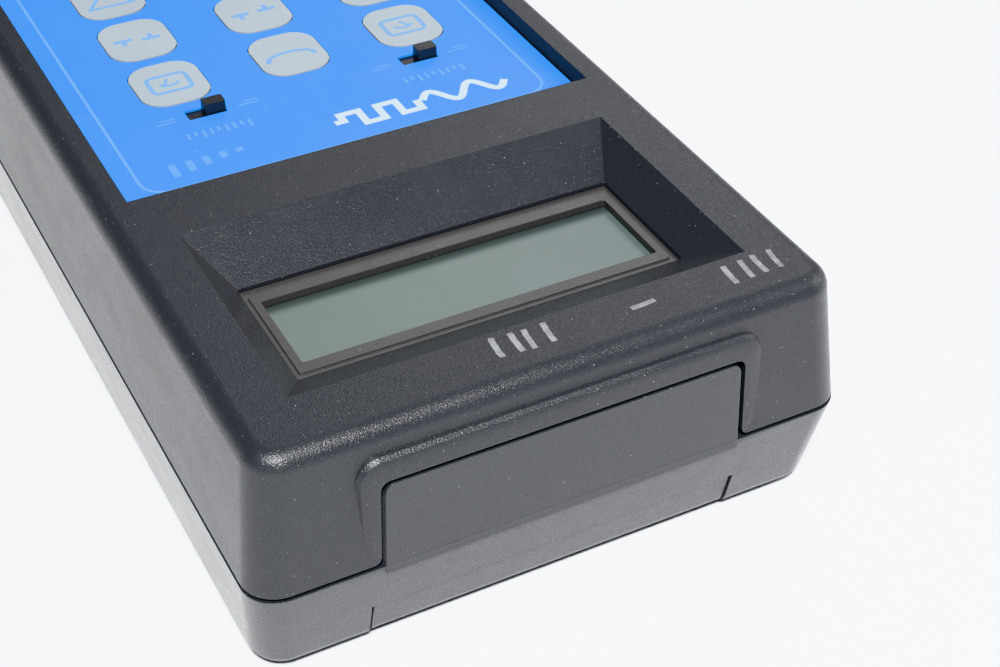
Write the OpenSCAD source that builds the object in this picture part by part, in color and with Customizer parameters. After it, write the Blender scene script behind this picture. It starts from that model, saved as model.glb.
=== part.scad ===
// Handheld process calibrator: LCD end at +Y, back on the table, +Z up, +X to the reader's right.
// Millimetres, real size. The origin is the centre of the footprint, at the level the feet stand on.

/* [Case] */
// Width at the seam
case_w = 100; // [80:1:130]
// Length at the seam
case_l = 203; // [180:1:240]
// Depth of the back shell, from the seam down
back_d = 18.5; // [15:0.5:25]
// Height of the front shell, from the seam up
front_h = 24.5; // [20:0.5:30]
// Wall thickness of both shells
wall = 2.4; // [1.8:0.1:3.5]
// Visible groove between the shells
seam_gap = 0.7; // [0.3:0.05:1]
// Radius of the vertical corners
corner_r = 5.6; // [3:0.1:10]
// Inward slope of the front shell's sides
side_draft = 0.11; // [0:0.01:0.2]
// Inward slope of the front shell's ends
end_draft = 0.07; // [0:0.01:0.2]
// Fillet around the top face
top_r = 3.3; // [1:0.1:5]
// Inward slope of the back shell's sides
back_side = 0.08; // [0:0.01:0.2]
// Inward slope of the back shell at the display end
back_end = 0.27; // [0.05:0.01:0.35]
// Inward slope of the back shell at the jack end
back_tail = 0.12; // [0.05:0.01:0.35]
// Fillet around the back face
bottom_r = 3.5; // [1:0.1:4]
// How far the rubber feet stand out
foot_proud = 0.5; // [0.3:0.1:2]

/* [Display] */
// Width of the display recess at the top face
rec_w = 75.4; // [60:0.1:85]
// Length of the display recess at the top face
rec_h = 44.7; // [30:0.1:60]
// Distance of the recess from the display end
rec_v = 13.5; // [8:0.1:30]
// Width of the opening at the foot of the recess
foot_w = 65.2; // [50:0.1:75]
// Length of the opening at the foot of the recess
foot_h = 24.8; // [18:0.1:40]
// Distance of that opening from the display end
foot_v = 22.8; // [15:0.1:40]
// Depth of the recess
rec_d = 5.5; // [3:0.1:8]
// Width of the viewing window
view_w = 60.6; // [50:0.1:70]
// Length of the viewing window
view_h = 16.8; // [12:0.1:26]

/* [Keypad] */
// Width of the keypad recess
pad_w = 83.8; // [70:0.1:90]
// Length of the keypad recess
pad_l = 116; // [90:1:130]
// Distance of the keypad recess from the display end
pad_v = 70.6; // [60:0.1:90]
// Depth of the keypad recess down to its floor
pad_d = 4.8; // [2:0.1:6]
// Key width
key_w = 12.7; // [8:0.1:18]
// Key length
key_h = 15; // [8:0.1:18]
// Key corner radius
key_r = 4.5; // [1:0.1:6]
// Column pitch
key_px = 22.9; // [16:0.1:28]
// Row pitch
key_py = 17.8; // [16:0.1:28]
// Distance of the first row's middle from the display end
key_v = 108.2; // [95:0.1:120]
// Sideways offset of the keys and switches
layout_x = -0.85; // [-3:0.05:3]
// Key travel
key_travel = 0.4; // [0.2:0.05:1]
// Sideways distance of each slide switch from the middle
sw_x = 20.4; // [10:0.1:30]
// Distance of the slide switches from the display end
sw_v = 96.2; // [88:0.1:105]
// Slide switch travel
sw_travel = 2.9; // [1:0.1:5]

/* [Tongue] */
// Half width of the back shell's tongue at the seam
tongue_x = 29.8; // [20:0.1:38]
// Height of the tongue above the seam
tongue_h = 15.2; // [8:0.1:18]
// Gap around the tongue
tongue_gap = 0.7; // [0.3:0.05:1]
// Half width of the raised arch around it
arch_x = 33.4; // [25:0.1:40]
// Height of the arch above the seam
arch_h = 20; // [12:0.1:22]

/* [Jacks] */
// Socket bore radius, for 4 mm plugs
jack_r = 2; // [1.9:0.01:2.1]
// Half the distance between the sockets
jack_x = 9.525; // [9:0.001:12]
// Height of the sockets
jack_z = 28.6; // [26:0.1:32]

/* [Stand] */
// Half width of the tilt stand
stand_x = 30.9; // [20:0.1:36]
// Height of the stand's lip on the end wall
stand_top = 8.7; // [5:0.1:12]
// Gap above the stand's lip
stand_gap = 0.25; // [0.15:0.05:1]
// Distance of the stand's hinge from the display end
hinge_v = 80; // [50:1:95]
// Hinge pin radius
hinge_r = 1.25; // [0.8:0.05:2]

/* [Hidden] */
$fn = 48;
zb = foot_proud;
zs = zb + back_d;
zt = zs + front_h;
yl = case_l / 2;
z_pad = zt - pad_d;
z_pcb = 30;
pcb_t = 1.6;
z_top_pcb = z_pcb + pcb_t;
screw_xy = [for (x = [-42, 42], y = [-89, 86.5]) [x, y]];
foot_xy = [for (x = [-40, 40], y = [-68, 64]) [x, y]];
foot_r = 5;
hinge_y = yl - hinge_v;
hinge_z = zb + 2.6;
door_y = -46;
door_top = zs - 7;
door_x = 29;
door_gap = 0.4;
side_gap = 0.45;
plate_y = -14;
plate_w = 50;
plate_h = 26;
lcd_y = yl - foot_v - foot_h / 2;
pad_y = yl - pad_v - pad_l / 2;
sw_y = yl - sw_v;
film_t = 0.3;
z_circuit = z_pad + film_t;
z_overlay = z_pad + 1.2;
overlay_t = 0.4;
z_key = z_circuit + key_travel + 0.05;
key_top = z_overlay + overlay_t + 0.12;
z_glass = 36.1;
glass_w = 69;
glass_h = 25;
glass_t = 1.4;
chip_xy = [[-22, 52], [2, 52], [26, 52], [-20, 26], [12, 26], [-4, -2]];
boss_xy = [[-37, 12], [37, 12], [-37, -34], [37, -34], [-37, -78], [37, -78]];

// 2D rounded rectangle about the origin
module rrect(w, h, r) {
    square([w - 2 * r, h], center = true);
    square([w, h - 2 * r], center = true);
    for (sx = [-1, 1], sy = [-1, 1]) {
        translate([sx * (w / 2 - r), sy * (h / 2 - r)]) circle(r);
    }
}

module slab(w, h, r, z0, z1) {
    translate([0, 0, z0]) linear_extrude(z1 - z0) rrect(w, h, r);
}

// Box between two corners
module box(a, b) {
    translate(a) cube(b - a);
}

// Cylinder along Y between two stations
module rod_y(x, z, y0, y1, r) {
    translate([x, y0, z]) rotate([-90, 0, 0]) cylinder(h = y1 - y0, r = r);
}

// Cylinder along X between two stations
module rod_x(y, z, x0, x1, r) {
    translate([x0, y, z]) rotate([0, 90, 0]) cylinder(h = x1 - x0, r = r);
}

// Disc with a quarter-round top edge, for the corners of a filleted block
module round_disc(r, f) {
    rotate_extrude() {
        square([r - f, f]);
        translate([r - f, 0]) intersection() {
            circle(f);
            square(f);
        }
    }
}

// Drafted block from z0 to z1, inset from the front shell's outside, filleted on top
module front_block(inset, z0, z1, r, f) {
    hull() {
        for (sx = [-1, 1], sy = [-1, 1]) {
            translate([sx * (case_w / 2 - side_draft * (z0 - zs) - inset - r),
                    sy * (yl - end_draft * (z0 - zs) - inset - r), z0])
                cylinder(h = 0.1, r = r);
            translate([sx * (case_w / 2 - side_draft * (z1 - f - zs) - inset - r),
                    sy * (yl - end_draft * (z1 - f - zs) - inset - r), z1 - f])
                round_disc(r, f);
        }
    }
}

// Drafted block from the seam down to z0, inset from the back shell's outside
module back_block(inset, z0, z1, r, f) {
    hull() {
        for (sx = [-1, 1], sy = [-1, 1]) {
            t = sy > 0 ? back_end : back_tail;
            translate([sx * (case_w / 2 - back_side * (zs - z1) - inset - r),
                    sy * (yl - t * (zs - z1) - inset - r), z1 - 0.1])
                cylinder(h = 0.1, r = r);
            translate([sx * (case_w / 2 - back_side * (zs - z0 - f) - inset - r),
                    sy * (yl - t * (zs - z0 - f) - inset - r), z0 + f])
                mirror([0, 0, 1])
                    round_disc(r, f);
        }
    }
}

// Outline of the back at an end, as [distance from the end, height], inset by d
function fillet_v(t) = bottom_r * sqrt(1 + t * t) + t * (back_d - bottom_r);
function end_line(d, t, z) = t * (zs - z) + d * sqrt(1 + t * t);
function end_arc(d, t) = [for (i = [0 : 8])
    let (a = 180 + atan(t) + (90 - atan(t)) * i / 8)
        [fillet_v(t) + (bottom_r - d) * cos(a), zb + bottom_r + (bottom_r - d) * sin(a)]];
function end_corner(d, t) = d < bottom_r - 0.1 ? end_arc(d, t) : [[end_line(d, t, zb + d), zb + d]];
function end_path(d, t, top, far) = concat([[end_line(d, t, top), top]], end_corner(d, t), [[far, zb + d]]);
function reversed(p) = [for (i = [len(p) - 1 : -1 : 0]) p[i]];

// Skin that follows the back around an end, from inset a to inset b, as wide as 2 x
module end_skin(a, b, t, top, far, x, dir) {
    scale([1, dir, 1])
        translate([-x, yl, 0])
            rotate([90, 0, 90])
                scale([-1, 1, 1])
                    linear_extrude(2 * x)
                        polygon(concat(end_path(a, t, top, far), reversed(end_path(b, t, top, far))));
}

// Tongue outline in the end wall, grown by g, with its foot at z0
module tongue_2d(g, z0) {
    x0 = tongue_x + g;
    x1 = tongue_x - 0.6 + g;
    z1 = zs + tongue_h + g;
    r = 1.5;
    polygon([[-x0, z0], [x0, z0], [x1 + 0.06, z1 - r], [-x1 - 0.06, z1 - r]]);
    translate([-x1 + r, z1 - 2 * r]) square([2 * x1 - 2 * r, 2 * r]);
    for (s = [-1, 1]) {
        translate([s * (x1 - r), z1 - r]) circle(r);
    }
}

module tongue_block(g, z0, v0, v1) {
    translate([0, yl - v0, 0]) rotate([90, 0, 0]) linear_extrude(v1 - v0) tongue_2d(g, z0);
}

// Raised arch around the tongue, rounded toward its front
module arch() {
    hull() {
        for (p = [[0, 1.5], [0.35, 0.6], [1, 0.12], [2.4, 0]]) {
            translate([0, yl - p[0], 0])
                rotate([90, 0, 0])
                    linear_extrude(0.05)
                        translate([0, (zs + seam_gap + zs + arch_h - p[1]) / 2])
                            rrect(2 * (arch_x - p[1]), arch_h - seam_gap - p[1], 4 - p[1] * 0.8);
        }
    }
}

module key_at(r, c) {
    translate([layout_x + (c - 2) * key_px, yl - key_v - (r - 1) * key_py, 0]) children();
}

module each_key() {
    for (r = [1 : 4], c = [1 : 3]) {
        key_at(r, c) children();
    }
}

// Outer display recess, grown outward by g for the solid behind its walls
module hopper(g, z0, z1) {
    hull() {
        translate([0, yl - rec_v - rec_h / 2, z1 - 0.05])
            linear_extrude(0.05)
                square([rec_w + 2 * g, rec_h + 2 * g], center = true);
        translate([0, lcd_y, z0])
            linear_extrude(0.05)
                square([foot_w + 2 * g, foot_h + 2 * g], center = true);
    }
}

module front_shell() {
    color([0.22, 0.23, 0.25])
    difference() {
        union() {
            difference() {
                union() {
                    front_block(0, zs + seam_gap, zt, corner_r, top_r);
                    arch();
                }
                front_block(wall, zs - 1, zt - wall, corner_r - wall, 1.5);
            }
            intersection() {
                front_block(0.6, zs, zt - 1, corner_r - 0.6, 2);
                union() {
                    box([-44.6, yl - pad_v - pad_l - 2.4, z_pad - 2.2], [44.6, yl - pad_v + 2.4, zt - 1]);
                    hopper(2.2, zt - rec_d - 0.7, zt - 0.8);
                    for (p = screw_xy) {
                        translate([p[0], p[1], zs + 0.05]) cylinder(h = 22.5, r = 4.2);
                    }
                }
            }
            for (p = boss_xy) {
                translate([p[0], p[1], z_top_pcb + 0.02]) cylinder(h = z_pad - 2 - z_top_pcb, r = 3);
            }
        }
        hopper(0, zt - rec_d, zt + 0.05);
        translate([0, lcd_y, 0]) slab(foot_w, foot_h, 0.4, z_pcb, zt - rec_d + 0.1);
        box([-pad_w / 2, yl - pad_v - pad_l, z_pad], [pad_w / 2, yl - pad_v, zt + 1]);
        tongue_block(tongue_gap, zs - 1, -1, 4);
        for (s = [-1, 1]) {
            translate([s * (tongue_x + tongue_gap + 1.1), yl + 1, zs + seam_gap + 1.1])
                rotate([90, 0, 0])
                    linear_extrude(5)
                        difference() {
                            translate([s > 0 ? -1.4 : 0, -2]) square([1.4, 2]);
                            circle(1.1);
                        }
        }
        for (s = [-1, 1]) {
            translate([layout_x + s * sw_x, sw_y, 0]) slab(7.5, 3.4, 0.3, z_pad - 3, z_pad + 1);
            translate([s * jack_x, -yl - 1, jack_z]) rotate([-90, 0, 0]) cylinder(h = 6, r = 4.4);
            translate([s * jack_x, -yl - 1, jack_z]) rotate([-90, 0, 0]) cylinder(h = 2.3, r = 7.2);
        }
        box([-11, yl - pad_v - 4, z_pad - 3], [11, yl - pad_v - 2.6, z_pad + 1]);
        for (p = screw_xy) {
            translate([p[0], p[1], zs - 1]) cylinder(h = 8, r = 2.35);
            translate([p[0], p[1], zs]) cylinder(h = 15, r = 1.6);
        }
        for (p = boss_xy) {
            translate([p[0], p[1], z_top_pcb - 1]) cylinder(h = 6, r = 1.3);
        }
    }
}

module back_lip() {
    difference() {
        union() {
            slab(case_w - 2 * wall - 0.3, case_l - 2 * wall - 0.3, corner_r - wall, zs - 3, zs + 2);
            slab(case_w - 3, case_l - 7, corner_r - 2, zs - 3, zs - 1.2);
        }
        slab(case_w - 2 * wall - 2.7, case_l - 2 * wall - 2.7, corner_r - wall - 1.2, zs - 4, zs + 3);
    }
}

module back_shell() {
    color([0.3, 0.31, 0.33])
    difference() {
        union() {
            difference() {
                back_block(0, zb, zs, corner_r, bottom_r);
                back_block(wall, zb + wall, zs + 1, corner_r - wall, 1.5);
            }
            box([-36, hinge_y - 6, zb + 1.5], [36, yl - 9.5, zb + 4.4]);
            box([-36, hinge_y - 5.5, zb + 1.5], [36, hinge_y + 5.5, zb + 7.6]);
            end_skin(1, 4.6, back_end, stand_top + 2.4, 20, 34, 1);
            box([-33, -yl + 9.5, zb + 1.5], [33, door_y + 3, zb + 4.4]);
            end_skin(1, 4.6, back_tail, door_top + 2.4, 20, 33, -1);
            box([-28.4, -81.9, zb + 1.5], [30.4, -48.1, 23.2]);
            for (p = screw_xy) {
                translate([p[0], p[1], zb + 1.5]) cylinder(h = back_d - 1.5, r = 4.6);
            }
            back_lip();
            tongue_block(0, zs - 1.5, 0.02, 2.2);
            box([-31.5, yl - 5.8, zs - 3], [31.5, yl - 4.3, zs + tongue_h + 1]);
            box([-31.5, yl - 5.8, zs - 3], [31.5, yl - 2, zs - 1.2]);
        }
        end_skin(-3, 2.55, back_end, stand_top + stand_gap, hinge_v, stand_x + side_gap, 1);
        end_skin(-3, 2.55, back_tail, door_top + 0.3, yl + door_y + 0.3, door_x + door_gap, -1);
        box([-30.8, -yl, zb + 1.1], [30.8, door_y + 0.3, zb + 2.3]);
        rod_x(hinge_y, hinge_z, -stand_x - side_gap, stand_x + side_gap, 2.8);
        box([-stand_x - side_gap, hinge_y - 2.8, -1], [stand_x + side_gap, hinge_y, hinge_z]);
        rod_x(hinge_y, hinge_z, -33.6, 33.6, hinge_r);
        box([-26.6, -80.1, zb - 1], [28.6, -49.9, 21.8]);
        box([28, -62, 16], [31, -58, 21.8]);
        for (p = screw_xy) {
            translate([p[0], p[1], zb - 1]) cylinder(h = 8.5, r = 3.3);
            translate([p[0], p[1], zb]) cylinder(h = back_d + 1, r = 1.7);
        }
        for (p = foot_xy) {
            translate([p[0], p[1], zb - 1]) cylinder(h = 1.8, r = foot_r + 0.1);
        }
        translate([0, plate_y, 0]) slab(plate_w + 0.4, plate_h + 0.4, 1.7, zb - 1, zb + 0.35);
    }
}

// Plate with the same windows as the keypad, grown by gx and gy
module keypad_sheet(z0, z1, gx, gy, r, slot_w, slot_h) {
    difference() {
        translate([0, pad_y, 0]) slab(pad_w - 0.6, pad_l - 0.6, 0.6, z0, z1);
        each_key() slab(key_w + gx, key_h + gy, r, z0 - 1, z1 + 1);
        for (s = [-1, 1]) {
            translate([layout_x + s * sw_x, sw_y, 0]) slab(slot_w, slot_h, 0.3, z0 - 1, z1 + 1);
        }
    }
}

module keypad_overlay() {
    color([0.2, 0.45, 0.95])
        keypad_sheet(z_overlay, z_overlay + overlay_t, 0.4, 0.4, key_r + 0.2, 7, 3.2);
}

module keypad_spacer() {
    color([0.8, 0.8, 0.75]) keypad_sheet(z_circuit, z_overlay, 2.2, 0.6, key_r + 0.3, 13.8, 4.4);
}

module keypad_circuit() {
    color([0.75, 0.6, 0.3])
    difference() {
        translate([0, pad_y, 0]) slab(pad_w - 0.6, pad_l - 0.6, 0.6, z_pad, z_circuit);
        for (s = [-1, 1]) {
            translate([layout_x + s * sw_x, sw_y, 0]) slab(7.8, 3.8, 0.3, z_pad - 1, z_pad + 1);
        }
    }
}

module keypad_tail() {
    color([0.75, 0.6, 0.3]) box([-8, yl - pad_v - 3.45, 33.3], [8, yl - pad_v - 3.15, z_pad]);
}

module tail_socket() {
    color([0.9, 0.88, 0.8])
    difference() {
        box([-10.5, yl - pad_v - 4.9, z_top_pcb], [10.5, yl - pad_v - 1.7, z_top_pcb + 3]);
        box([-8.3, yl - pad_v - 3.8, z_top_pcb + 1], [8.3, yl - pad_v - 2.8, z_top_pcb + 4]);
    }
}

module key_cap() {
    color([0.78, 0.8, 0.8]) {
        slab(key_w, key_h, key_r, z_key, key_top);
        slab(key_w + 1.4, key_h - 3, key_r - 0.5, z_key, z_overlay - 0.02);
    }
}

module key_r1_c1() {
    key_at(1, 1) key_cap();
}

module key_r1_c2() {
    key_at(1, 2) key_cap();
}

module key_r1_c3() {
    key_at(1, 3) key_cap();
}

module key_r2_c1() {
    key_at(2, 1) key_cap();
}

module key_r2_c2() {
    key_at(2, 2) key_cap();
}

module key_r2_c3() {
    key_at(2, 3) key_cap();
}

module key_r3_c1() {
    key_at(3, 1) key_cap();
}

module key_r3_c2() {
    key_at(3, 2) key_cap();
}

module key_r3_c3() {
    key_at(3, 3) key_cap();
}

module key_r4_c1() {
    key_at(4, 1) key_cap();
}

module key_r4_c2() {
    key_at(4, 2) key_cap();
}

module key_r4_c3() {
    key_at(4, 3) key_cap();
}

// Slide switch knob, drawn at the left end of its slot
module knob(x) {
    color([0.1, 0.1, 0.11])
    translate([layout_x + x - sw_travel / 2, sw_y, 0]) {
        slab(3.8, 2.5, 0.3, z_pad - 3.2, z_pad + 3.6);
        slab(10.6, 3.8, 0.3, z_circuit + 0.1, z_overlay - 0.1);
        slab(5.6, 3.4, 0.3, z_pad - 4.2, z_pad - 3.1);
    }
}

module mode_knob() {
    knob(-sw_x);
}

module range_knob() {
    knob(sw_x);
}

module switch_cans() {
    color([0.7, 0.71, 0.72])
    for (s = [-1, 1]) {
        translate([layout_x + s * sw_x, sw_y, 0])
            difference() {
                slab(10.4, 5.4, 0.3, z_top_pcb, z_pad - 2.4);
                slab(9.2, 4.2, 0.3, z_top_pcb + 1, z_pad - 2.9);
                slab(7.5, 3.3, 0.3, z_pad - 4, z_pad);
            }
    }
}

module lcd_bezel() {
    color([0.3, 0.28, 0.28])
    translate([0, lcd_y, 0])
        difference() {
            union() {
                slab(71.2, 27.2, 0.5, 34.6, zt - rec_d - 0.8);
                slab(view_w + 2.6, view_h + 4.4, 0.5, 36, zt - rec_d - 0.5);
            }
            slab(glass_w + 1, glass_h + 1, 0.4, 34, zt - rec_d - 1.8);
            slab(view_w, view_h, 0.4, 34, zt);
        }
}

module lcd_glass() {
    color([0.55, 0.62, 0.6])
    translate([0, lcd_y, 0]) slab(glass_w, glass_h, 0.4, z_glass - glass_t, z_glass);
}

module lcd_board() {
    color([0.1, 0.4, 0.2])
    translate([0, lcd_y, 0])
        difference() {
            slab(76, 33, 1, 33.2, 34.6);
            for (x = [-36, 36], y = [-14.4, 14.4]) {
                translate([x, y, 32]) cylinder(h = 4, r = 1.25);
            }
        }
}

module lcd_header() {
    color([0.1, 0.1, 0.1]) box([-19, lcd_y + 13, z_top_pcb], [19, lcd_y + 15.5, 33.2]);
}

module main_board() {
    color([0.1, 0.4, 0.2])
    difference() {
        box([-43, -84, z_pcb], [43, 80, z_top_pcb]);
        for (p = boss_xy) {
            translate([p[0], p[1], z_pcb - 1]) cylinder(h = 4, r = 1.35);
        }
    }
}

module board_screws() {
    color([0.75, 0.75, 0.76])
    for (p = boss_xy) {
        translate([p[0], p[1], 0])
            difference() {
                union() {
                    translate([0, 0, z_pcb - 1.7]) cylinder(h = 1.7, r = 2.3);
                    translate([0, 0, z_pcb - 0.5]) cylinder(h = 6.6, r = 1.22);
                }
                translate([0, 0, z_pcb - 2]) cylinder(h = 1, r = 1, $fn = 6);
            }
    }
}

module chips() {
    color([0.08, 0.08, 0.09])
    for (p = chip_xy) {
        box([p[0] - 9.6, p[1] - 3.2, z_pcb - 4.1], [p[0] + 9.6, p[1] + 3.2, z_pcb - 0.7]);
    }
}

module chip_pins() {
    color([0.8, 0.8, 0.8])
    for (p = chip_xy, s = [-1, 1]) {
        translate([p[0], p[1] + s * 3.42, 0]) box([-8.9, -0.2, z_pcb - 2.6], [8.9, 0.2, z_pcb]);
    }
}

module crystal() {
    color([0.8, 0.8, 0.8])
    translate([30, 26, 0]) slab(10.8, 4.4, 2.19, z_pcb - 3.6, z_pcb);
}

module capacitors() {
    color([0.12, 0.14, 0.3])
    for (p = [[36, 66], [36, 40], [-38, 64], [-38, 40], [24, -8]]) {
        translate([p[0], p[1], z_pcb - 8]) cylinder(h = 8, r = 3.4);
    }
}

module resistors() {
    color([0.2, 0.4, 0.7])
    for (i = [0 : 7]) {
        rod_x(-20 - 2.6 * i, z_pcb - 1.2, 8, 14.4, 0.95);
    }
}

module trimmers() {
    color([0.15, 0.3, 0.75])
    for (y = [-22, -34]) {
        box([-16, y - 4.7, z_pcb - 4.8], [-11.2, y + 4.7, z_pcb]);
    }
}

module fuse() {
    color([0.8, 0.85, 0.85]) rod_x(-28, z_pcb - 4, -40, -20, 2.5);
}

module fuse_clips() {
    color([0.8, 0.75, 0.5])
    for (x = [-38, -22]) {
        translate([x, -28, 0])
            difference() {
                box([-1.6, -3.4, z_pcb - 5.6], [1.6, 3.4, z_pcb]);
                rod_x(0, z_pcb - 4, -3, 3, 2.55);
                box([-3, -2.2, z_pcb - 7], [3, 2.2, z_pcb - 4]);
            }
    }
}

module jack_body(x) {
    difference() {
        union() {
            rod_y(x, jack_z, -yl + 0.2, -yl + 1.3, 6.8);
            rod_y(x, jack_z, -yl + 1.3, -yl + 15, 4.3);
        }
        rod_y(x, jack_z, -yl - 1, -yl + 14.45, 2.9);
        rod_y(x, jack_z, -yl, -yl + 16, 1.3);
    }
}

module jack_red() {
    color([0.75, 0.1, 0.1]) jack_body(jack_x);
}

module jack_black() {
    color([0.08, 0.08, 0.08]) jack_body(-jack_x);
}

module jack_sleeves() {
    color([0.8, 0.7, 0.35])
    for (s = [-1, 1]) {
        difference() {
            union() {
                rod_y(s * jack_x, jack_z, -yl + 0.6, -yl + 14.4, 2.86);
                rod_y(s * jack_x, jack_z, -yl + 14, -yl + 20, 1.2);
            }
            rod_y(s * jack_x, jack_z, -yl, -yl + 12.6, jack_r);
        }
    }
}

module jack_nuts() {
    color([0.78, 0.78, 0.78])
    for (s = [-1, 1]) {
        translate([s * jack_x, -yl + 3.8, jack_z])
            rotate([-90, 0, 0])
                difference() {
                    cylinder(h = 2.4, r = 6.6, $fn = 6);
                    translate([0, 0, -1]) cylinder(h = 5, r = 4.4);
                }
    }
}

module jack_leads() {
    color([0.8, 0.5, 0.3])
    for (s = [-1, 1]) {
        box([s * jack_x - 1.5, -yl + 16, jack_z + 1.22], [s * jack_x + 1.5, -yl + 22, z_pcb]);
    }
}

module tilt_stand() {
    color([0.3, 0.31, 0.33])
    difference() {
        union() {
            end_skin(0.15, 2.15, back_end, stand_top, hinge_v, stand_x, 1);
            rod_x(hinge_y, hinge_z, -stand_x, stand_x, 2.4);
        }
        rod_x(hinge_y, hinge_z, -40, 40, hinge_r + 0.06);
    }
}

module hinge_pin() {
    color([0.75, 0.75, 0.76]) rod_x(hinge_y, hinge_z, -33.5, 33.5, hinge_r - 0.01);
}

module battery_door() {
    color([0.3, 0.31, 0.33])
    difference() {
        union() {
            end_skin(0.15, 2.15, back_tail, door_top, yl + door_y, door_x, -1);
            box([-30.4, -yl + 9, zb + 1.4], [30.4, door_y, zb + 2.0]);
        }
        for (i = [0 : 5]) {
            box([-12, door_y - 8 - 2 * i, -1], [12, door_y - 7 - 2 * i, zb + 0.6]);
        }
    }
}

module battery() {
    color([0.15, 0.16, 0.2])
    translate([-26.2, -65, 12.3]) rotate([90, 0, 90]) linear_extrude(46.4) rrect(26.3, 17.3, 2);
}

module battery_studs() {
    color([0.8, 0.8, 0.8]) {
        rod_x(-71.35, 12.3, 20.2, 22.4, 2.8);
        rod_x(-58.65, 12.3, 20.2, 22.4, 3.7);
    }
}

module battery_snap() {
    color([0.1, 0.1, 0.1]) box([22.4, -78, 5.5], [24.8, -52, 20.8]);
}

module battery_leads() {
    color([0.7, 0.1, 0.1])
    for (y = [-60.9, -59.1]) {
        rod_x(y, 19, 24.8, 34, 0.65);
        translate([34, y, 19]) sphere(0.65);
        translate([34, y, 19]) cylinder(h = z_pcb - 19, r = 0.65);
    }
}

module case_screws() {
    color([0.6, 0.6, 0.61])
    for (p = screw_xy) {
        translate([p[0], p[1], 0])
            difference() {
                union() {
                    translate([0, 0, 5.6]) cylinder(h = 2.38, r = 2.9);
                    translate([0, 0, 7]) cylinder(h = 24, r = 1.45);
                }
                translate([0, 0, 5]) cylinder(h = 1.9, r = 1.3, $fn = 6);
            }
    }
}

module thread_inserts() {
    color([0.8, 0.7, 0.35])
    for (p = screw_xy) {
        translate([p[0], p[1], zs + 0.6])
            difference() {
                cylinder(h = 6.3, r = 2.32);
                translate([0, 0, -1]) cylinder(h = 9, r = 1.5);
            }
    }
}

module rubber_feet() {
    color([0.08, 0.08, 0.08])
    for (p = foot_xy) {
        translate([p[0], p[1], 0]) cylinder(h = zb + 0.78, r = foot_r);
    }
}

module back_plate() {
    color([0.8, 0.8, 0.8]) translate([0, plate_y, 0]) slab(plate_w, plate_h, 1.5, zb + 0.05, zb + 0.35);
}

front_shell();
back_shell();
keypad_overlay();
keypad_spacer();
keypad_circuit();
keypad_tail();
key_r1_c1();
key_r1_c2();
key_r1_c3();
key_r2_c1();
key_r2_c2();
key_r2_c3();
key_r3_c1();
key_r3_c2();
key_r3_c3();
key_r4_c1();
key_r4_c2();
key_r4_c3();
mode_knob();
range_knob();
switch_cans();
lcd_bezel();
lcd_glass();
lcd_board();
lcd_header();
main_board();
board_screws();
chips();
chip_pins();
crystal();
capacitors();
resistors();
trimmers();
fuse();
fuse_clips();
tail_socket();
jack_red();
jack_black();
jack_sleeves();
jack_nuts();
jack_leads();
tilt_stand();
hinge_pin();
battery_door();
battery();
battery_studs();
battery_snap();
battery_leads();
case_screws();
thread_inserts();
rubber_feet();
back_plate();
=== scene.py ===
"""Looks for a handheld process calibrator: materials, printed marks, light and camera.

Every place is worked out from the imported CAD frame. Metres, +Z up, +Y is the display end.
"""

import math
import random

import bmesh
import bpy
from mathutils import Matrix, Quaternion, Vector


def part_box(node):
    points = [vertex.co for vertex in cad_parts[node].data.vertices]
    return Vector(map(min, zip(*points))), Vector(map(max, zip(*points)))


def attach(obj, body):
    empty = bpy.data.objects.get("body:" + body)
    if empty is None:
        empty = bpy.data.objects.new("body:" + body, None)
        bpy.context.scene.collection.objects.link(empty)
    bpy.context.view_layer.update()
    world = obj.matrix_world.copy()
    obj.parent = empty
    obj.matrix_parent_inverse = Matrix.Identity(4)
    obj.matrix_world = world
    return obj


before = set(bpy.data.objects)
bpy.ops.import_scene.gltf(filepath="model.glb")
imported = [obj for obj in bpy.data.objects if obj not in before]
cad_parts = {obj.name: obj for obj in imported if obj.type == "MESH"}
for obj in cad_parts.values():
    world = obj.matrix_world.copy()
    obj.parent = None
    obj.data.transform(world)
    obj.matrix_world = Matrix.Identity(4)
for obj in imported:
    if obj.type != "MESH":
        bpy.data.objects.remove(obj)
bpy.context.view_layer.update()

MM = 0.001
# Thickness of printed ink and paint
INK = 0.03 * MM
# How much thicker each stroke is than the last, so that crossing strokes don't share a face
OVERPRINT = 1.04
# Angle above which an edge stays sharp
SHARP = math.radians(25)
# How far welded corners may be apart
WELD = 0.001 * MM
# How strongly large faces decide the shading at their rims, 1 to 100
FACE_WEIGHT = 80


# ---------------------------------------------------------------- material kit


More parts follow.
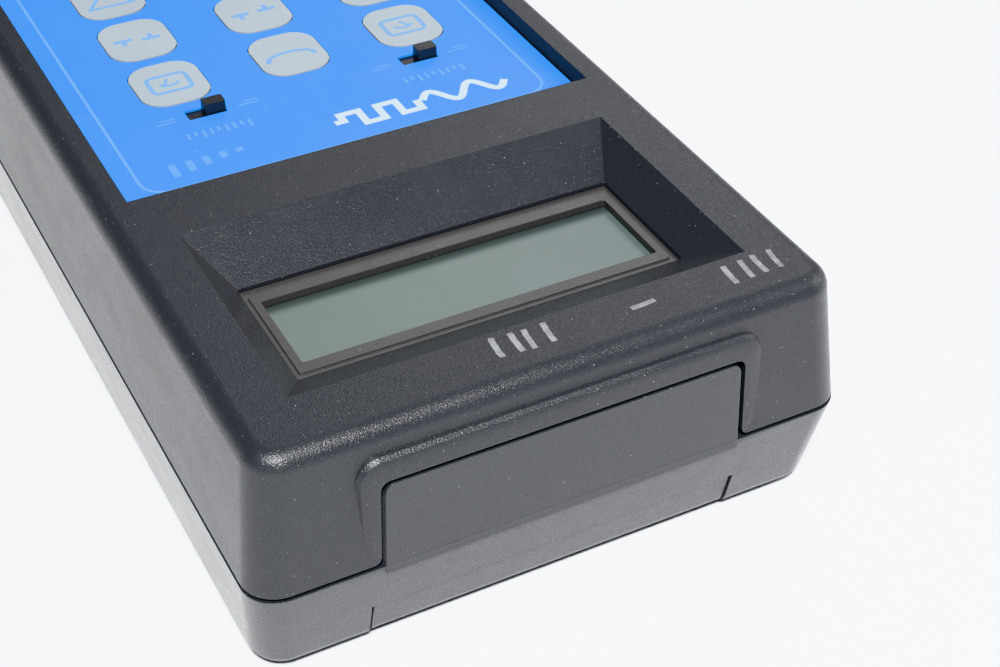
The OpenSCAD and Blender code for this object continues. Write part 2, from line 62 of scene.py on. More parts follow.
class Look:
    """A material's node tree, with short calls for the nodes that the looks share."""

    def __init__(self, name, roughness=0.5, **constants):
        self.material = bpy.data.materials.new(name)
        self.material.use_nodes = True
        self.nodes = self.material.node_tree.nodes
        self.links = self.material.node_tree.links
        self.shader = self.nodes["Principled BSDF"]
        self.shader.inputs["Roughness"].default_value = roughness
        for socket, value in constants.items():
            self.shader.inputs[socket.replace("_", " ")].default_value = value
        self.place = self.nodes.new("ShaderNodeTexCoord").outputs["Object"]

    def put(self, socket, value):
        if isinstance(value, bpy.types.NodeSocket):
            self.links.new(value, socket)
        else:
            socket.default_value = value

    def add(self, kind, inputs, output=0, **settings):
        node = self.nodes.new(kind)
        for name, value in settings.items():
            setattr(node, name, value)
        for key, value in inputs.items():
            self.put(node.inputs[key], value)
        return node.outputs[output]

    def drive(self, socket, value):
        """Feeds one of the shader's own sockets."""
        self.put(self.shader.inputs[socket], value)

    def math(self, operation, a, b=0.0):
        return self.add("ShaderNodeMath", {0: a, 1: b}, operation=operation)

    def span(self, value, low, high, to_low=0.0, to_high=1.0):
        """Maps low..high to to_low..to_high with soft ends, and holds it there outside."""
        inputs = {"Value": value, "From Min": low, "From Max": high}
        inputs.update({"To Min": to_low, "To Max": to_high})
        return self.add("ShaderNodeMapRange", inputs, interpolation_type="SMOOTHSTEP")

    def mix(self, factor, a, b):
        return self.add("ShaderNodeMix", {0: factor, 6: a, 7: b}, output=2, data_type="RGBA")

    def axis(self, index):
        return self.add("ShaderNodeSeparateXYZ", {0: self.place}, output=index)

    def inside(self, low, high):
        """1 between two corners of a box, 0 outside it."""
        mask = 1.0
        for i in range(3):
            above = self.math("GREATER_THAN", self.axis(i), low[i])
            below = self.math("LESS_THAN", self.axis(i), high[i])
            mask = self.math("MULTIPLY", self.math("MULTIPLY", above, below), mask)
        return mask

    def stretched(self, factors):
        return self.add("ShaderNodeVectorMath", {0: self.place, 1: factors}, operation="MULTIPLY")

    def noise(self, size, detail=2.0, rough=0.5, stretch=None):
        """Cloudy noise, 0 to 1, whose features are about this size in metres."""
        place = self.stretched(stretch) if stretch else self.place
        inputs = {"Vector": place, "Scale": 1 / size, "Detail": detail, "Roughness": rough}
        return self.add("ShaderNodeTexNoise", inputs)

    def cells(self, size, output="Distance"):
        inputs = {"Vector": self.place, "Scale": 1 / size}
        return self.add("ShaderNodeTexVoronoi", inputs, output=output)

    def specks(self, size, radius, share):
        """A mask of scattered dots: one in each cell of this size, in this share of the cells."""
        dot = self.span(self.cells(size), radius, radius * 0.45)
        chance = self.add("ShaderNodeSeparateColor", {0: self.cells(size, "Color")})
        return self.math("MULTIPLY", dot, self.math("LESS_THAN", chance, share))

    def bump(self, height, depth, under=None):
        """Bump of this depth in metres. Corners look slightly rounded where under is a radius."""
        inputs = {"Height": height, "Distance": depth, "Strength": 1.0}
        if under:
            inputs["Normal"] = self.add("ShaderNodeBevel", {"Radius": under}, samples=4)
        self.drive("Normal", self.add("ShaderNodeBump", inputs))


def shade(colour, factor):
    return tuple(channel * factor for channel in colour[:3]) + (1.0,)


DUST_COLOUR = (0.42, 0.43, 0.42, 1.0)
# The peaks of a moulded grain: the lighter colour painted on them as painted glints, how much of it
# shows, and how much smoother they are
PEAK_GLINT_COLOUR = (0.2, 0.2, 0.2, 1.0)
PEAK_GLINT_SHARE = 0.07
PEAK_POLISH = 0.07
# Share of its shine that a dull area keeps
DULL_SHARE = 0.15


def plastic(name, colour, grain, depth, roughness, dust=0.0, tone=0.12, dull=None, **constants):
    """Moulded plastic: fine spark texture with painted glints on its peaks, cloudy tone, handling
    marks and a little dust.

    The grain's size and depth are in metres. Between the corners in dull, if given, the surface
    hardly shines.
    """
    look = Look(name, **constants)
    cloud = look.noise(16 * MM, detail=4.0)
    colour_here = look.mix(cloud, shade(colour, 1 - tone), shade(colour, 1 + tone))
    fine = look.noise(grain, detail=3.0, rough=0.6)
    spark = look.span(fine, 0.35, 0.65)
    # Painted highlight: the grain's peaks are lightened to stand in for glints of light on the
    # texture
    colour_here = look.mix(look.math("MULTIPLY", spark, PEAK_GLINT_SHARE), colour_here, PEAK_GLINT_COLOUR)
    pits = look.cells(grain * 1.5)
    height = look.math("ADD", fine, look.math("MULTIPLY", pits, 0.5))
    rubbed = look.noise(5 * MM, detail=3.0, stretch=(1.0, 0.35, 1.0))
    rough_here = look.span(rubbed, 0.3, 0.7, roughness - 0.02, roughness + 0.03)
    rough_here = look.math("SUBTRACT", rough_here, look.math("MULTIPLY", spark, PEAK_POLISH))
    if dust:
        coarse = look.specks(1.9 * MM, 0.055, dust)
        specks = look.math("MAXIMUM", coarse, look.specks(0.8 * MM, 0.08, dust * 0.35))
        colour_here = look.mix(specks, colour_here, DUST_COLOUR)
        rough_here = look.math("ADD", rough_here, look.math("MULTIPLY", specks, 0.4))
    if dull:
        shine = constants["Specular_IOR_Level"]
        shine_here = look.span(look.inside(*dull), 0.0, 1.0, shine, shine * DULL_SHARE)
        look.drive("Specular IOR Level", shine_here)
    look.drive("Base Color", colour_here)
    look.drive("Roughness", rough_here)
    look.bump(height, depth, under=0.15 * MM)
    return look.material


def metal(name, colour, roughness, brushed=(1.0, 1.0, 1.0), stain=0.25, spread=0.2):
    """Plated or turned metal: fine tool lines, dull patches and faint tarnish."""
    look = Look(name, Metallic=1.0)
    lines = look.noise(0.25 * MM, detail=3.0, stretch=brushed)
    patches = look.noise(3 * MM, detail=4.0)
    tarnish = look.span(patches, 0.45, 0.75, 0.0, stain)
    look.drive("Base Color", look.mix(tarnish, colour + (1.0,), shade(colour, 0.45)))
    look.drive("Roughness", look.span(patches, 0.3, 0.7, roughness, roughness + spread))
    look.bump(lines, 0.006 * MM, under=0.08 * MM)
    return look.material


def printed_film(name, colour, roughness, texture_depth, wear=0.0):
    """Screen-printed polyester film: velvet texture, slightly uneven ink, rubbed patches."""
    look = Look(name, Specular_IOR_Level=0.35)
    ink = look.noise(9 * MM, detail=5.0)
    fine = look.noise(0.16 * MM, detail=2.0)
    colour_here = look.mix(ink, shade(colour, 0.95), shade(colour, 1.05))
    if wear:
        rubbed = look.span(look.noise(7 * MM, detail=6.0, rough=0.65), 0.58, 0.75, 0.0, wear)
        colour_here = look.mix(rubbed, colour_here, (0.22, 0.40, 0.66, 1.0))
    specks = look.specks(3.1 * MM, 0.035, 0.5)
    look.drive("Base Color", look.mix(specks, colour_here, (0.75, 0.78, 0.8, 1.0)))
    look.drive("Roughness", look.span(ink, 0.3, 0.7, roughness - 0.05, roughness + 0.08))
    look.bump(fine, texture_depth)
    return look.material


def circuit_board(name):
    """Solder mask over copper: tracks show as lighter green, and run along X or Y by blocks."""
    look = Look(name, Coat_Weight=0.4, Coat_Roughness=0.25)
    track_x, track_y = (
        look.span(look.math("PINGPONG", look.axis(index), pitch), 0.20 * MM, 0.26 * MM, 1.0, 0.0)
        for index, pitch in ((0, 1.27 * MM), (1, 2.54 * MM))
    )
    block = look.span(look.noise(9 * MM, detail=0.0), 0.49, 0.51)
    tracks = look.mix(block, track_x, track_y)
    weave = look.noise(0.4 * MM, detail=1.0)
    look.drive("Base Color", look.mix(tracks, (0.006, 0.055, 0.022, 1.0), (0.02, 0.13, 0.05, 1.0)))
    look.drive("Roughness", look.span(weave, 0.3, 0.7, 0.35, 0.5))
    look.bump(look.math("ADD", tracks, look.math("MULTIPLY", weave, 0.2)), 0.03 * MM)
    return look.material


# Height of the display window in the bezel, along Y, and how far the bezel's shade reaches into it
WINDOW = 16.8 * MM
SHADE_REACH = 3.0 * MM


def display_face(name):
    """A blank reflective LCD: grey-green, cloudy, darker where the bezel's far edge shades it."""
    look = Look(name, Specular_IOR_Level=0.5)
    low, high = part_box("lcd_glass")
    across = look.span(look.axis(0), low.x, high.x)
    window_edge = (low.y + high.y) / 2 - WINDOW / 2
    far_shade = look.span(look.axis(1), window_edge, window_edge + SHADE_REACH, 0.42, 1.0)
    cloud = look.noise(11 * MM, detail=3.0)
    tone = look.math("ADD", look.math("MULTIPLY", across, 0.55), look.math("MULTIPLY", cloud, 0.45))
    colour_here = look.mix(tone, (0.094, 0.120, 0.122, 1.0), (0.094, 0.118, 0.106, 1.0))
    colour_here = look.mix(far_shade, (0.0, 0.0, 0.0, 1.0), colour_here)
    specks = look.specks(1.7 * MM, 0.04, 0.35)
    look.drive("Base Color", look.mix(specks, colour_here, (0.45, 0.47, 0.45, 1.0)))
    look.drive("Roughness", look.span(cloud, 0.3, 0.7, 0.28, 0.31))
    look.bump(look.noise(4 * MM, detail=1.0), 0.006 * MM)
    return look.material


def clear_glass(name):
    """Clear glass with a faint haze."""
    look = Look(name, Transmission_Weight=0.85, IOR=1.5, Coat_Weight=0.3)
    haze = look.noise(2 * MM, detail=3.0)
    look.drive("Base Color", look.mix(haze, (0.82, 0.88, 0.88, 1.0), (0.7, 0.76, 0.76, 1.0)))
    look.drive("Roughness", look.span(haze, 0.4, 0.8, 0.04, 0.2))
    return look.material


def banded(name, colour, band, pitch, roughness):
    """A sleeve with printed bands across X, such as a resistor's or a capacitor's."""
    look = Look(name)
    place = look.math("PINGPONG", look.axis(0), pitch)
    stripes = look.span(place, pitch * 0.16, pitch * 0.2, 1.0, 0.0)
    scuff = look.noise(1.2 * MM, detail=4.0)
    body = look.mix(scuff, shade(colour, 0.85), shade(colour, 1.15))
    look.drive("Base Color", look.mix(stripes, body, band + (1.0,)))
    look.drive("Roughness", look.span(scuff, 0.3, 0.7, roughness, roughness + 0.2))
    look.bump(scuff, 0.01 * MM, under=0.1 * MM)
    return look.material


def paint_marker(name):
    """Silver paint-pen strokes: streaky flakes, thin and broken where the pen skipped."""
    look = Look(name, Metallic=0.1)
    flakes = look.noise(0.18 * MM, detail=3.0, rough=0.7)
    streaks = look.noise(1.6 * MM, detail=3.0, rough=0.6)
    thin = look.span(look.math("ADD", flakes, streaks), 0.65, 1.25)
    look.drive("Base Color", look.mix(thin, (0.13, 0.135, 0.14, 1.0), (0.26, 0.265, 0.27, 1.0)))
    look.drive("Roughness", look.span(flakes, 0.3, 0.7, 0.45, 0.65))
    look.bump(flakes, 0.008 * MM)
    return look.material


def table_paint(name):
    """The pale table: faint scuffs and smudges."""
    look = Look(name, Specular_IOR_Level=0.3)
    cloud = look.noise(120 * MM, detail=5.0)
    colour_here = look.mix(cloud, (0.80, 0.815, 0.83, 1.0), (0.86, 0.87, 0.88, 1.0))
    streaks = look.noise(30 * MM, detail=9.0, rough=0.75, stretch=(1.0, 0.5, 1.0))
    scuffs = look.span(streaks, 0.66, 0.74, 0.0, 0.18)
    look.drive("Base Color", look.mix(scuffs, colour_here, (0.62, 0.61, 0.58, 1.0)))
    look.drive("Roughness", look.span(cloud, 0.3, 0.7, 0.5, 0.65))
    look.bump(look.noise(1.5 * MM, detail=3.0), 0.01 * MM)
    return look.material


# ---------------------------------------------------------------- materials of the CAD nodes

CASE = (0.025, 0.0275, 0.033)
FRONT_SHINE = {"Specular_IOR_Level": 0.46, "Sheen_Weight": 0.03, "Sheen_Roughness": 0.35}
BACK_SHINE = {"Specular_IOR_Level": 0.60, "Sheen_Weight": 0.12, "Sheen_Roughness": 0.35}


def keypad_well():
    """Corners of the space over the overlay, just below the top face."""
    low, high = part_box("keypad_overlay")
    side = Vector((2 * MM, 2 * MM, 0.0))
    top = Vector((high.x, high.y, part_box("front_shell")[1].z - 0.05 * MM))
    return low - side, top + side


LOOKS = {
    "case_front": plastic("grained_case", CASE, 0.20 * MM, 0.062 * MM, 0.31, dust=1.0, tone=0.04,
                          dull=keypad_well(), **FRONT_SHINE),
    "case_back": plastic("grained_back", CASE, 0.20 * MM, 0.045 * MM, 0.31, dust=0.5, tone=0.04,
                         **BACK_SHINE),
    "overlay_film": printed_film("blue_overlay", (0.030, 0.240, 0.74), 0.42, 0.012 * MM, wear=0.05),
    "key_face": printed_film("grey_key_window", (0.275, 0.315, 0.35), 0.45, 0.012 * MM),
    "clear_film": printed_film("spacer_film", (0.60, 0.62, 0.58), 0.30, 0.004 * MM),
    "flex_film": banded("printed_circuit_film", (0.62, 0.60, 0.50), (0.45, 0.46, 0.47),
                        1.27 * MM, 0.35),
    "switch_black": plastic("switch_knob_black", (0.012, 0.012, 0.014), 0.25 * MM, 0.02 * MM, 0.38,
                            dust=0.1),
    "plated_steel": metal("plated_steel", (0.62, 0.61, 0.58), 0.28),
    "bezel_paint": plastic("bezel_satin", (0.047, 0.045, 0.045), 0.2 * MM, 0.012 * MM, 0.36,
                           dust=0.9, tone=0.05),
    "lcd_face": display_face("lcd_glass_face"),
    "board_green": circuit_board("board_green"),
    "connector_black": plastic("connector_black", (0.018, 0.018, 0.02), 0.3 * MM, 0.02 * MM, 0.5),
    "connector_cream": plastic("connector_cream", (0.65, 0.60, 0.48), 0.3 * MM, 0.02 * MM, 0.45),
    "zinc_screw": metal("zinc_screw", (0.60, 0.61, 0.62), 0.25, brushed=(1.0, 0.2, 1.0)),
    "chip_black": plastic("chip_epoxy", (0.02, 0.02, 0.022), 0.12 * MM, 0.015 * MM, 0.6),
    "capacitor_sleeve": banded("capacitor_sleeve", (0.012, 0.020, 0.060), (0.5, 0.52, 0.55),
                               9 * MM, 0.3),
    "resistor_coat": banded("resistor_coat", (0.10, 0.28, 0.50), (0.35, 0.05, 0.02), 1.9 * MM, 0.35),
    "trimmer_blue": plastic("trimmer_blue", (0.03, 0.09, 0.42), 0.25 * MM, 0.015 * MM, 0.4),
    "fuse_glass": clear_glass("fuse_glass"),
    "clip_brass": metal("clip_brass", (0.72, 0.60, 0.36), 0.3),
    "jack_red_plastic": plastic("jack_red", (0.42, 0.010, 0.012), 0.3 * MM, 0.01 * MM, 0.3,
                                dust=0.2),
    "jack_black_plastic": plastic("jack_black", (0.014, 0.014, 0.016), 0.3 * MM, 0.01 * MM, 0.3,
                                  dust=0.2),
    "contact_brass": metal("contact_brass", (0.78, 0.62, 0.34), 0.24, brushed=(1.0, 0.3, 1.0)),
    "pin_steel": metal("pin_steel", (0.56, 0.57, 0.58), 0.22, brushed=(0.1, 1.0, 1.0)),
    "battery_wrap": banded("battery_wrap", (0.03, 0.03, 0.035), (0.55, 0.33, 0.07), 24 * MM, 0.3),
    "lead_red": plastic("lead_red", (0.50, 0.02, 0.02), 0.4 * MM, 0.01 * MM, 0.4),
    "foot_rubber": plastic("foot_rubber", (0.016, 0.016, 0.017), 0.35 * MM, 0.05 * MM, 0.75,
                           dust=0.4),
    "rating_plate": metal("anodised_plate", (0.46, 0.47, 0.48), 0.42, brushed=(0.04, 1.0, 1.0),
                          stain=0.06, spread=0.05),
}


def weld_group():
    """Geometry nodes that weld split corners and shade a mesh smooth between sharp edges."""
    group = bpy.data.node_groups.new("weld_and_smooth", "GeometryNodeTree")
    group.interface.new_socket("Geometry", in_out="INPUT", socket_type="NodeSocketGeometry")
    group.interface.new_socket("Geometry", in_out="OUTPUT", socket_type="NodeSocketGeometry")
    nodes, links = group.nodes, group.links
    start = nodes.new("NodeGroupInput")
    drop = nodes.new("GeometryNodeRemoveAttribute")
    drop.inputs["Name"].default_value = "custom_normal"
    weld = nodes.new("GeometryNodeMergeByDistance")
    weld.inputs["Distance"].default_value = WELD
    smooth = nodes.new("GeometryNodeSetShadeSmooth")
    sharp = nodes.new("GeometryNodeSetShadeSmooth")
    sharp.domain = "EDGE"
    angle = nodes.new("GeometryNodeInputMeshEdgeAngle")
    shallow = nodes.new("FunctionNodeCompare")
    shallow.operation = "LESS_EQUAL"
    shallow.inputs[1].default_value = SHARP
    end = nodes.new("NodeGroupOutput")
    links.new(start.outputs[0], drop.inputs[0])
    links.new(drop.outputs[0], weld.inputs[0])
    links.new(weld.outputs[0], smooth.inputs[0])
    links.new(smooth.outputs[0], sharp.inputs[0])
    links.new(angle.outputs["Unsigned Angle"], shallow.inputs[0])
    links.new(shallow.outputs[0], sharp.inputs["Shade Smooth"])
    links.new(sharp.outputs[0], end.inputs[0])
    return group


def dress_cad_nodes():
    """Gives every CAD node its materials by slot name, and its shading modifiers."""
    group = weld_group()
    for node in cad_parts.values():
        for holder in node.material_slots:
            slot_name = holder.material.name.split(".")[0]
            holder.material = LOOKS[slot_name]
        node.modifiers.new("weld_and_smooth", "NODES").node_group = group
        weighted = node.modifiers.new("flat_faces_first", "WEIGHTED_NORMAL")
        weighted.keep_sharp = True
        weighted.weight = FACE_WEIGHT


dress_cad_nodes()


# ---------------------------------------------------------------- flat printed shapes


def circle(x, y, radius, steps=24, start=0.0, sweep=math.tau):
    """Points on a circle, or on an arc of it when sweep is less than a full turn."""
    last = steps if sweep >= math.tau else steps - 1
    angles = [start + sweep * i / last for i in range(steps)]
    return [Vector((x + radius * math.cos(a), y + radius * math.sin(a))) for a in angles]


def rounded_rectangle(x, y, width, height, radius):
    """Points around a rounded rectangle with its middle at x, y."""
    corners = []
    for turn, (sx, sy) in enumerate([(1, 1), (-1, 1), (-1, -1), (1, -1)]):
        cx = x + sx * (width / 2 - radius)
        cy = y + sy * (height / 2 - radius)
        corners += circle(cx, cy, radius, 8, turn * math.pi / 2, math.pi / 2)
    return corners


class Print:
    """Ink on a level face: strokes and filled shapes, all closed solids of one mesh."""

    def __init__(self, z, thickness=INK, facing=1):
        self.bm = bmesh.new()
        self.z = z
        self.thickness = thickness * facing

    def stroke(self, points, width, closed=False):
        """A line of this width along the points, a little thicker than the one before it."""
        points = [Vector(p) for p in points]
        count = len(points)
        rings = []
        for i, point in enumerate(points):
            before = (point - points[i - 1]) if closed or i else None
            after = (points[(i + 1) % count] - point) if closed or i < count - 1 else None
            into = (before or after).normalized()
            out = (after or before).normalized()
            along = (into + out).normalized()
            side = Vector((-along.y, along.x))
            reach = width / 2 / max(0.5, side.dot(Vector((-out.y, out.x))))
            edges = [point + side * reach, point - side * reach]
            levels = (self.z, self.z + self.thickness)
            ring = [self.bm.verts.new((e.x, e.y, z)) for z in levels for e in edges]
            rings.append([ring[0], ring[1], ring[3], ring[2]])
        for i in range(count if closed else count - 1):
            here, there = rings[i], rings[(i + 1) % count]
            for k in range(4):
                n = (k + 1) % 4
                self.bm.faces.new((here[k], here[n], there[n], there[k]))
        if not closed:
            self.bm.faces.new(rings[0][::-1])
            self.bm.faces.new(rings[-1])
        self.thickness *= OVERPRINT

    def finish(self, name, material, body):
        """Turns the strokes into one piece that rides on a body."""
        bmesh.ops.recalc_face_normals(self.bm, faces=self.bm.faces)
        mesh = bpy.data.meshes.new(name)
        self.bm.to_mesh(mesh)
        self.bm.free()
        piece = bpy.data.objects.new(name, mesh)
        bpy.context.scene.collection.objects.link(piece)
        mesh.materials.append(material)
        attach(piece, body)
        return piece


border_ink = printed_film("border_ink", (0.12, 0.35, 0.76), 0.45, 0.008 * MM)
faint_ink = printed_film("faint_ink", (0.10, 0.325, 0.74), 0.45, 0.008 * MM)
white_ink = printed_film("white_ink", (0.42, 0.50, 0.56), 0.45, 0.008 * MM)
legend_ink = printed_film("legend_ink", (0.15, 0.29, 0.50), 0.45, 0.008 * MM)
plate_ink = printed_film("plate_ink", (0.02, 0.02, 0.025), 0.45, 0.008 * MM)
silver_paint = paint_marker("silver_paint")

film_low, film_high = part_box("keypad_overlay")
film_mid = (film_low + film_high) / 2


def make_border():
    """The rounded line around the overlay."""
    inset = 4.3 * MM
    width = film_high.x - film_low.x - 2 * inset
    height = film_high.y - film_low.y - 2 * inset
    line = Print(film_high.z)
    corners = rounded_rectangle(film_mid.x, film_mid.y, width, height, 4.2 * MM)
    line.stroke(corners, 0.55 * MM, closed=True)
    line.finish("overlay_border", border_ink, "case")


# Glyphs: each draws into a Print around the middle x, y in metres, up is +Y.


def meter_glyph(ink, x, y, needle):
    ink.stroke(rounded_rectangle(x, y, 7.2 * MM, 5.8 * MM, 1.1 * MM), 0.8 * MM, closed=True)
    ink.stroke(circle(x, y - 1.3 * MM, 2.2 * MM, 9, 0.6, math.pi - 1.2), 0.6 * MM)
    tip = Vector((x + needle * MM, y + 1.0 * MM))
    ink.stroke([(x, y - 1.6 * MM), tip], 0.6 * MM)


def arc_glyph(ink, x, y):
    ink.stroke(circle(x, y + 8 * MM, 8.6 * MM, 19, math.radians(242), math.radians(56)), 0.8 * MM)
    for side in (-1, 1):
        foot = Vector((x + side * 4.1 * MM, y + 0.6 * MM))
        ink.stroke([foot, foot + Vector((side * 0.5 * MM, 1.3 * MM))], 1.0 * MM)


def pair_glyph(ink, x, y, lift):
    for side in (-1, 1):
        middle = x + side * 2.6 * MM
        height = y + side * lift * MM
        ink.stroke([(middle - 1.7 * MM, height), (middle + 1.7 * MM, height)], 1.0 * MM)
        ink.stroke([(middle, height), (middle, height + side * 1.8 * MM)], 0.9 * MM)


def arrow_glyph(ink, x, y, up):
    corners = [(-4.2 * MM, -2.9 * MM * up), (4.2 * MM, -2.9 * MM * up), (0.0, 3.6 * MM * up)]
    ink.stroke([(x + dx, y + dy) for dx, dy in corners], 0.75 * MM, closed=True)


def plus_glyph(ink, x, y, size):
    ink.stroke([(x - size, y), (x + size, y)], 0.8 * MM)
    for side in (-1, 1):
        ink.stroke([(x, y + side * 0.42 * MM), (x, y + side * size)], 0.8 * MM)


def minus_glyph(ink, x, y, size):
    ink.stroke([(x - size, y), (x + size, y)], 0.8 * MM)


def steps_glyph(ink, x, y, way):
    run = [(-3.6, -2.0), (-1.2, -2.0), (-1.2, 0.0), (1.2, 0.0), (1.2, 2.0), (3.6, 2.0)]
    ink.stroke([(x + way * dx * MM, y + dy * MM) for dx, dy in run], 0.65 * MM)


def ring_glyph(ink, x, y):
    ink.stroke(circle(x, y, 2.5 * MM, 28, math.radians(125), math.radians(290)), 0.65 * MM)
    ink.stroke([(x, y + 0.6 * MM), (x, y + 3.2 * MM)], 0.65 * MM)


KEY_GLYPHS = {
    "key_r1_c1": (meter_glyph, -1.2),
    "key_r1_c2": (arc_glyph,),
    "key_r1_c3": (meter_glyph, 1.2),
    "key_r2_c1": (pair_glyph, 0.5),
    "key_r2_c2": (pair_glyph, 0.0),
    "key_r2_c3": (pair_glyph, -0.5),
    "key_r3_c1": (steps_glyph, -1),
    "key_r3_c2": (arrow_glyph, 1),
    "key_r3_c3": (arrow_glyph, -1),
    "key_r4_c1": (ring_glyph,),
    "key_r4_c2": (minus_glyph, 2.6 * MM),
    "key_r4_c3": (plus_glyph, 2.6 * MM),
}


def make_key_legends():
    for key, (glyph, *details) in KEY_GLYPHS.items():
        low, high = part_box(key)
        ink = Print(high.z)
        glyph(ink, (low.x + high.x) / 2, (low.y + high.y) / 2, *details)
        ink.finish("legend_" + key[4:], legend_ink, key)


def dashes(ink, x, y, length, height, count, lean=0.0):
    """A row of short upright bars, a blank stand-in for a word."""
    pitch = length / count
    for i in range(count):
        left = x - length / 2 + pitch * (i + 0.5)
        tall = height * (1.0, 0.55, 0.8)[i % 3]
        foot = y - height / 2
        ink.stroke([(left, foot), (left + lean * tall, foot + tall)], pitch * 0.42)


# How far a slide switch moves; the knobs rest at the left end
KNOB_TRAVEL = 2.9 * MM


def make_switch_marks():
    """At each slide switch: two short lines at both ends, and a row of bars above."""
    ink = Print(film_high.z)
    for knob in ("mode_knob", "range_knob"):
        low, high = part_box(knob)
        slot_x = (low.x + high.x) / 2 + KNOB_TRAVEL / 2
        y = (low.y + high.y) / 2
        for end in (-1, 1):
            x = slot_x + end * 7.6 * MM
            ink.stroke([(x - 1.9 * MM, y + 0.9 * MM), (x + 1.9 * MM, y + 0.9 * MM)], 0.4 * MM)
            ink.stroke([(x - 1.9 * MM, y - 0.1 * MM), (x + 0.7 * MM, y - 0.1 * MM)], 0.4 * MM)
        dashes(ink, slot_x, y + 7.0 * MM, 12.5 * MM, 2.4 * MM, 9)
    ink.finish("switch_marks", faint_ink, "case")


def make_signal_graphic():
    """A plain wave that turns into a square wave, where such tools carry a name."""
    ink = Print(film_high.z)
    x0, y0 = -31.5 * MM, 19.6 * MM
    rise = 2.15 * MM
    wave = [(x0 + 16 * MM * t / 40, y0 + rise * math.sin(math.tau * 2 * t / 40)) for t in range(41)]
    ink.stroke(wave, 1.45 * MM)
    square = [(16, 0), (16.8, 0), (16.8, 1), (20.3, 1), (20.3, -1), (23.8, -1), (23.8, 1)]
    square += [(27.3, 1), (27.3, -1), (30.8, -1), (30.8, 0), (32.5, 0)]
    ink.stroke([(x0 + dx * MM + 0.25 * MM, y0 + dy * rise) for dx, dy in square], 1.45 * MM)
    ink.finish("signal_graphic", white_ink, "case")


def make_range_bars():
    """A faint row of bars, where such tools carry a type number."""
    ink = Print(film_high.z)
    for i in range(5):
        x = (18.8 + 3.0 * i) * MM
        ink.stroke([(x, 18.9 * MM), (x, (20.2 + 0.7 * i) * MM)], 1.3 * MM)
    ink.finish("range_bars", faint_ink, "case")


def make_jack_marks():
    """Ringed polarity signs on the overlay, next to the two sockets."""
    ink = Print(film_high.z)
    y = film_low.y + 9.4 * MM
    for jack, glyph in (("jack_red", plus_glyph), ("jack_black", minus_glyph)):
        low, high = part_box(jack)
        x = (low.x + high.x) / 2
        ink.stroke(circle(x, y, 3.2 * MM, 32), 0.5 * MM, closed=True)
        glyph(ink, x, y, 1.7 * MM)
    ink.finish("polarity_marks", white_ink, "case")


TALLY_SEED = 7


def make_marker_tally():
    """Hand-drawn tally strokes on the top face, in silver paint."""
    rng = random.Random(TALLY_SEED)
    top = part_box("front_shell")[1].z
    ink = Print(top)

    def pen(x0, y0, x1, y1):
        points = []
        for i in range(9):
            t = i / 8
            sway = 0.18 * MM * math.sin(2.6 * t + rng.uniform(0, 1)) + rng.uniform(-0.03, 0.03) * MM
            points.append((x0 + (x1 - x0) * t + sway, y0 + (y1 - y0) * t + sway * 0.4))
        ink.stroke(points, rng.uniform(0.85, 0.98) * MM)

    for first in (-41.0, -1.6):
        for i in range(4):
            x = (first + 2.7 * i + rng.uniform(-0.3, 0.3)) * MM
            foot = (89.4 + rng.uniform(-0.3, 0.3)) * MM
            pen(x, foot, x + rng.uniform(0.1, 0.8) * MM, foot + 4.7 * MM)
    pen(-19.2 * MM, 92.2 * MM, -15.0 * MM, 92.5 * MM)
    ink.finish("marker_tally", silver_paint, "case")


def make_plate_print():
    """Blank form lines on the rating plate, which faces down."""
    low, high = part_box("back_plate")
    ink = Print(low.z, facing=-1)
    mid_x, mid_y = (low.x + high.x) / 2, (low.y + high.y) / 2
    width, height = high.x - low.x, high.y - low.y
    frame_line = rounded_rectangle(mid_x, mid_y, width - 3 * MM, height - 3 * MM, 1.2 * MM)
    ink.stroke(frame_line, 0.35 * MM, closed=True)
    for row in range(4):
        y = mid_y + (1.5 - row) * 4.6 * MM
        length = (20, 14, 17, 11)[row] * MM
        ink.stroke([(mid_x - 20 * MM, y), (mid_x - 20 * MM + length, y)], 0.9 * MM)
        ink.stroke([(mid_x + 6 * MM, y - 0.9 * MM), (mid_x + 20 * MM, y - 0.9 * MM)], 0.25 * MM)
    ink.finish("plate_print", plate_ink, "case")


for make in (make_border, make_key_legends, make_switch_marks, make_signal_graphic, make_range_bars,
             make_jack_marks, make_marker_tally, make_plate_print):
    make()


# ---------------------------------------------------------------- stage, light and camera


# Half the side of the square floor, and its gap under the feet
FLOOR_REACH = 3.0
FLOOR_GAP = 0.01 * MM


def make_floor():
    """A plain pale table under the feet."""
    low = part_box("rubber_feet")[0]
    bm = bmesh.new()
    bmesh.ops.create_grid(bm, x_segments=4, y_segments=4, size=FLOOR_REACH)
    mesh = bpy.data.meshes.new("floor")
    bm.to_mesh(mesh)
    bm.free()
    floor = bpy.data.objects.new("floor", mesh)
    floor.location.z = low.z - FLOOR_GAP
    mesh.materials.append(table_paint("table_paint"))
    bpy.context.scene.collection.objects.link(floor)


LIGHT_AIM = Vector((0.0, 0.05, 0.02))


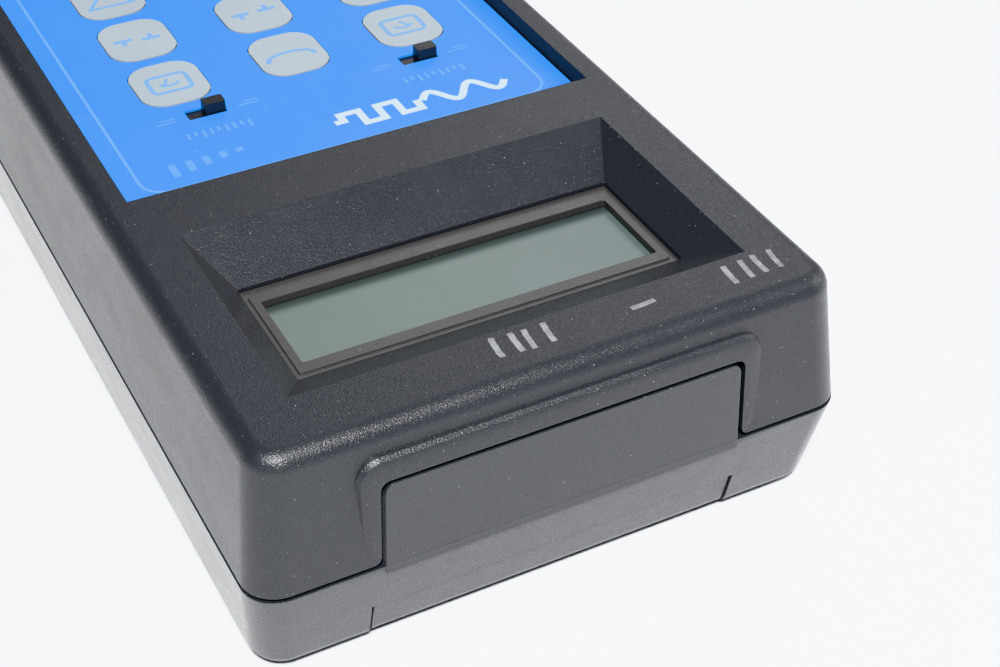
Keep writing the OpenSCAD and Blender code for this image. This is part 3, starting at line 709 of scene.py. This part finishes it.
def area_light(name, place, size, power):
    """A white disk light that shines at the display end. Metres and watts."""
    light = bpy.data.lights.new(name, "AREA")
    light.shape = "DISK"
    light.size = size
    light.energy = power
    holder = bpy.data.objects.new(name, light)
    holder.location = place
    holder.rotation_mode = "QUATERNION"
    holder.rotation_quaternion = (LIGHT_AIM - Vector(place)).to_track_quat("-Z", "Y")
    bpy.context.scene.collection.objects.link(holder)


def make_lights():
    """A dim sky, a small key light on the camera's side, a fill, and a wide light beyond.

    The wide light is reflected in the top face.
    """
    world = bpy.data.worlds.new("studio")
    world.use_nodes = True
    sky = world.node_tree.nodes["Background"]
    sky.inputs["Color"].default_value = (0.90, 0.95, 1.0, 1.0)
    sky.inputs["Strength"].default_value = 0.10
    bpy.context.scene.world = world
    area_light("key", (0.30, 0.75, 1.17), 0.30, 39.5)
    area_light("right", (-1.30, 0.30, 0.70), 0.9, 8.0)
    area_light("beyond", (-0.98, -1.22, 1.20), 1.3, 7.8)


CAMERA_AIM = Vector((2.8 * MM, 84.8 * MM, 40.0 * MM))
CAMERA_AZIMUTH = math.radians(153.04)
CAMERA_ELEVATION = math.radians(37.85)
CAMERA_DISTANCE = 277.8 * MM
CAMERA_ROLL = math.radians(-0.40)
CAMERA_LENS = 67.7


def make_camera():
    """A camera that looks down at the display end, from beyond it."""
    heading = Vector((-math.sin(CAMERA_AZIMUTH), math.cos(CAMERA_AZIMUTH), 0.0))
    forward = heading * math.cos(CAMERA_ELEVATION) - Vector((0, 0, math.sin(CAMERA_ELEVATION)))
    camera = bpy.data.cameras.new("camera")
    camera.lens = CAMERA_LENS
    camera.clip_start = 10 * MM
    holder = bpy.data.objects.new("camera", camera)
    holder.location = CAMERA_AIM - forward * CAMERA_DISTANCE
    holder.rotation_mode = "QUATERNION"
    roll = Quaternion((0, 0, 1), CAMERA_ROLL)
    holder.rotation_quaternion = forward.to_track_quat("-Z", "Y") @ roll
    bpy.context.scene.collection.objects.link(holder)
    bpy.context.scene.camera = holder
    bpy.context.scene.view_settings.view_transform = "Khronos PBR Neutral"


make_floor()
make_lights()
make_camera()
